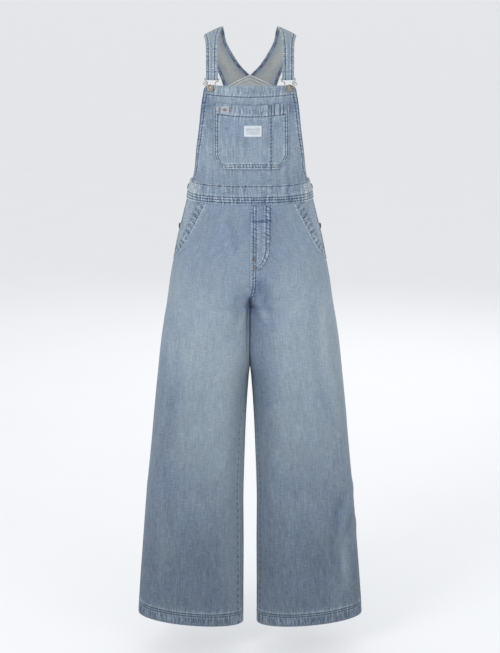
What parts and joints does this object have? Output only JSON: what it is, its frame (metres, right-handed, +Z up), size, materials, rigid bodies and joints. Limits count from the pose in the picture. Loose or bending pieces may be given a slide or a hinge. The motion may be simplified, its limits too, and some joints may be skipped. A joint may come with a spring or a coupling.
{
  "type": "denim dungarees",
  "caption": "Wide-legged denim dungarees, filled out and hollow: bib with a patch pocket, waistband with side fastenings, straps on wire buckles over the shoulders, slanted and patch pockets.",
  "frame": {"origin": "midway between the undersides of the two shoulder straps, at the top of the shoulders, on the middle plane; the wearer's shoulders carry it there", "axes": "+Z up, front (bib and its pocket) faces -Y, +X towards the wearer's left leg, on the right in the picture; the hems are lowest"},
  "size_m": [0.5466, 0.2469, 1.431],
  "materials": {
    "denim": "light-washed indigo twill, matt, faded at the thighs",
    "denim_wrong_side": "light-washed indigo twill, paler, matt",
    "label_cloth": "white woven cloth, blank",
    "copper": "aged copper plate, satin",
    "nickel": "nickel plate, worn bright"
  },
  "bodies": {
    "root": {"back_leg_left": "denim", "back_leg_right": "denim", "back_panel": "denim", "back_pocket_left": "denim", "back_pocket_right": "denim", "bib_button_left": "copper", "bib_button_right": "copper", "bib_front": "denim", "bib_pocket": "denim", "buckle_coil_left": "nickel", "buckle_coil_right": "nickel", "buckle_left": "nickel", "buckle_right": "nickel", "front_leg_left": "denim", "front_leg_right": "denim", "mock_fly": "denim", "pocket_facing_left": "denim_wrong_side", "pocket_facing_right": "denim_wrong_side", "pocket_label": "label_cloth", "pocket_tab": "denim", "side_button_left_lower": "copper", "side_button_left_upper": "copper", "side_button_right_lower": "copper", "side_button_right_upper": "copper", "side_flap_left": "denim", "side_flap_right": "denim", "strap_left": "denim", "strap_right": "denim", "waistband_back": "denim", "waistband_front": "denim"}
  },
  "joints": []
}
